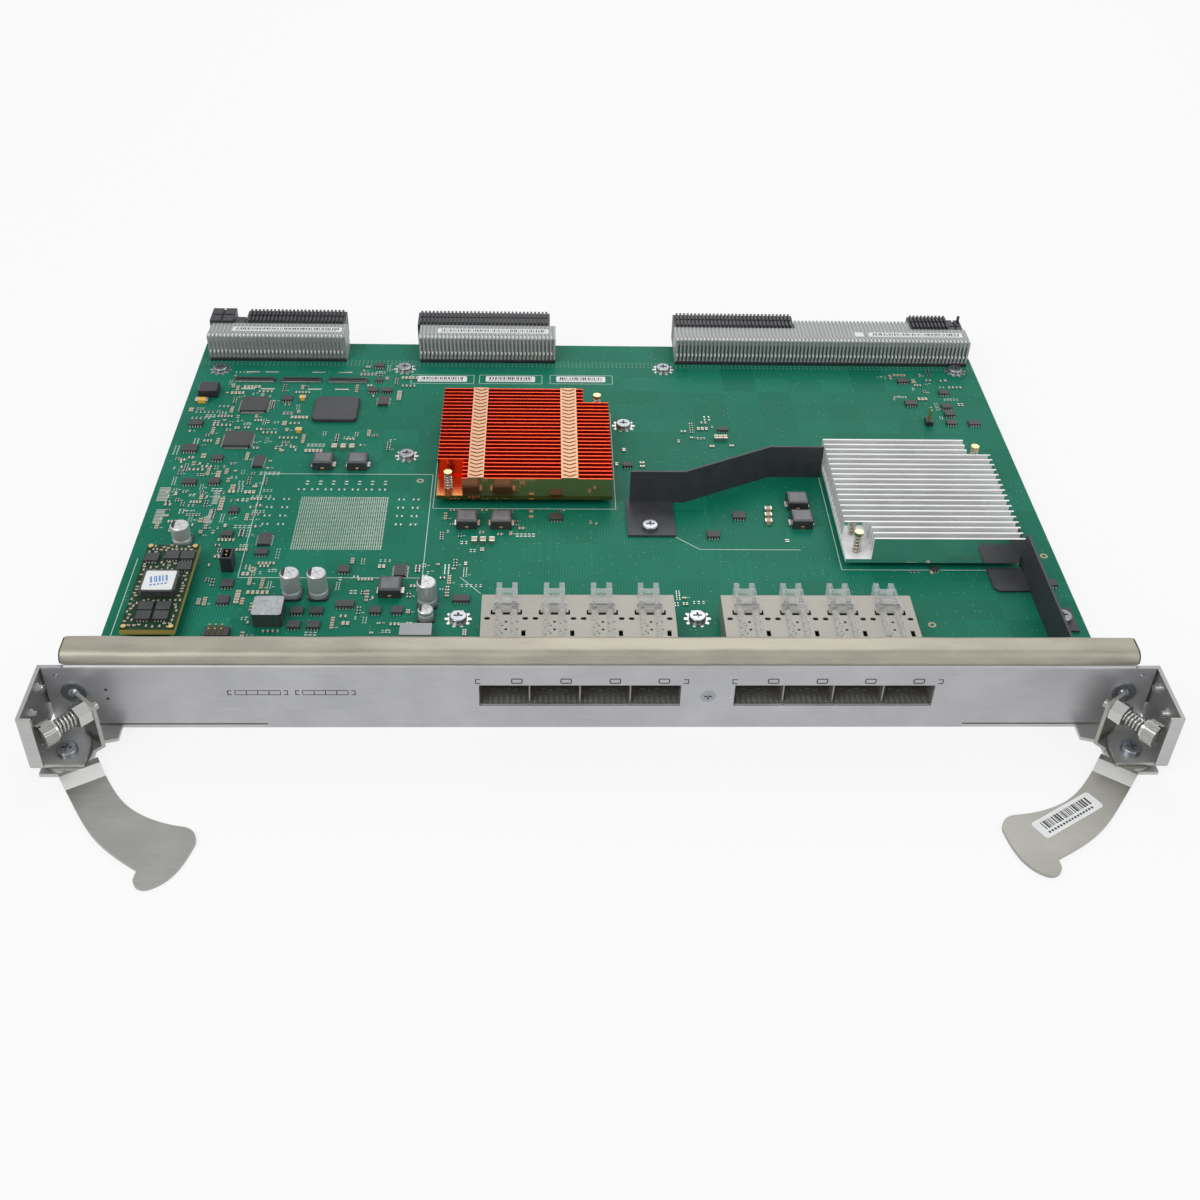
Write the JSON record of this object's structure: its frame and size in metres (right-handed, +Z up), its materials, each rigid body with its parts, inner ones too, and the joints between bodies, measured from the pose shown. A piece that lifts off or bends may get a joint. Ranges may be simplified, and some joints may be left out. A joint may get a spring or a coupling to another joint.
{
  "type": "chassis switch blade",
  "caption": "Plug-in switch board on a folded steel faceplate, with port cages, light pipes, finned heat sinks, backplane connectors and swinging ejector levers with captive screws.",
  "frame": {"origin": "middle of the faceplate's lower edge, on the plane the blade rests on, in the middle of the sheet's thickness", "axes": "X along the faceplate to the right as seen from the front, Y from the faceplate to the backplane edge, Z up from the resting plane"},
  "size_m": [0.4288, 0.3709, 0.037],
  "materials": {
    "board": "green solder mask over laminate, satin gloss",
    "panel_steel": "plain plated steel sheet, fine grain",
    "plated_steel": "bright plated steel, light grain",
    "screw_steel": "bright plated fasteners",
    "gasket_fabric": "woven conductive cloth, fine diamond weave",
    "gasket_foam": "soft black foam",
    "black_plastic": "moulded, fine matte",
    "grey_plastic": "moulded, matte mid grey",
    "clear_plastic": "clear moulded acrylic",
    "copper": "bare copper, lightly tarnished",
    "sink_aluminium": "bare aluminium, machined",
    "pin_brass": "bare brass",
    "chip_black": "moulded epoxy, fine matte",
    "thermal_pad": "soft filled silicone",
    "module_board": "laminate with tan cut edges",
    "core_black": "pressed ferrite, matte",
    "can_aluminium": "drawn can, bright",
    "choke_metal": "grey metal powder body, satin",
    "ceramic_tan": "fired ceramic with tinned ends",
    "tantalum_yellow": "moulded yellow case"
  },
  "bodies": {
    "blade": {"circuit_board": "board", "faceplate": "panel_steel", "gasket_fabric": "gasket_fabric", "gasket_foam": "gasket_foam", "stiffener_pan": "panel_steel", "pan_standoffs": "plated_steel", "board_screws": "screw_steel", "left_end_bracket": "plated_steel", "right_end_bracket": "plated_steel", "bracket_studs": "screw_steel", "panel_inserts": "screw_steel", "panel_screw": "screw_steel", "screw_block": "plated_steel", "pivot_screws": "screw_steel", "left_port_cage": "plated_steel", "right_port_cage": "plated_steel", "port_connectors": "black_plastic", "light_pipes": "clear_plastic", "connector_wafers": "grey_plastic", "connector_housings": "black_plastic", "guide_blocks": "black_plastic", "copper_base": "copper", "copper_fins": "copper", "copper_tabs": "copper", "aluminium_sink": "sink_aluminium", "sink_pins": "pin_brass", "sink_springs": "screw_steel", "sink_chips": "chip_black", "thermal_pads": "thermal_pad", "centre_baffle": "black_plastic", "right_baffle": "black_plastic", "baffle_screws": "screw_steel", "power_module_board": "module_board", "power_module_core": "core_black", "power_module_chips": "chip_black", "power_module_pins": "pin_brass", "capacitor_cans": "can_aluminium", "capacitor_bases": "black_plastic", "silver_choke": "choke_metal", "black_chokes": "core_black", "grey_filter_block": "choke_metal", "logic_chip": "chip_black", "quad_chips": "chip_black", "small_chips": "chip_black", "strip_connectors": "black_plastic", "header_blocks": "black_plastic", "header_pins": "pin_brass", "corner_relay": "black_plastic", "ceramic_parts": "ceramic_tan", "tantalum_parts": "tantalum_yellow"},
    "left_lever": {"left_lever": "plated_steel", "left_ferrule": "screw_steel", "left_screw_spring": "screw_steel"},
    "left_screw_carrier": {"left_spring_washer": "screw_steel"},
    "left_thumbscrew": {"left_thumbscrew": "screw_steel"},
    "right_lever": {"right_lever": "plated_steel", "right_ferrule": "screw_steel", "right_screw_spring": "screw_steel"},
    "right_screw_carrier": {"right_spring_washer": "screw_steel"},
    "right_thumbscrew": {"right_thumbscrew": "screw_steel"}
  },
  "joints": [
    {"name": "left_lever_swing", "type": "hinge", "parent": "blade", "child": "left_lever", "pos_m": [-0.203, -0.0181, 0.0025], "axis": [0, 0, 1], "range_deg": [-7, 43]},
    {"name": "left_screw_travel", "type": "slide", "parent": "left_lever", "child": "left_screw_carrier", "axis": [0.682, 0.7314, 0], "range_m": [0, 0.006], "stiffness_N_per_m": 300, "springref_m": -0.003, "deforming": ["left_screw_spring"]},
    {"name": "left_screw_spin", "type": "hinge", "parent": "left_screw_carrier", "child": "left_thumbscrew", "pos_m": [-0.19484, -0.01081, 0.0189], "axis": [0.682, 0.7314, 0], "continuous": true},
    {"name": "right_lever_swing", "type": "hinge", "parent": "blade", "child": "right_lever", "pos_m": [0.203, -0.0181, 0.0025], "axis": [0, 0, 1], "range_deg": [-38, 12]},
    {"name": "right_screw_travel", "type": "slide", "parent": "right_lever", "child": "right_screw_carrier", "axis": [-0.6157, 0.788, 0], "range_m": [0, 0.006], "stiffness_N_per_m": 300, "springref_m": -0.003, "deforming": ["right_screw_spring"]},
    {"name": "right_screw_spin", "type": "hinge", "parent": "right_screw_carrier", "child": "right_thumbscrew", "pos_m": [0.1955, -0.01013, 0.0189], "axis": [-0.6157, 0.788, 0], "continuous": true}
  ]
}
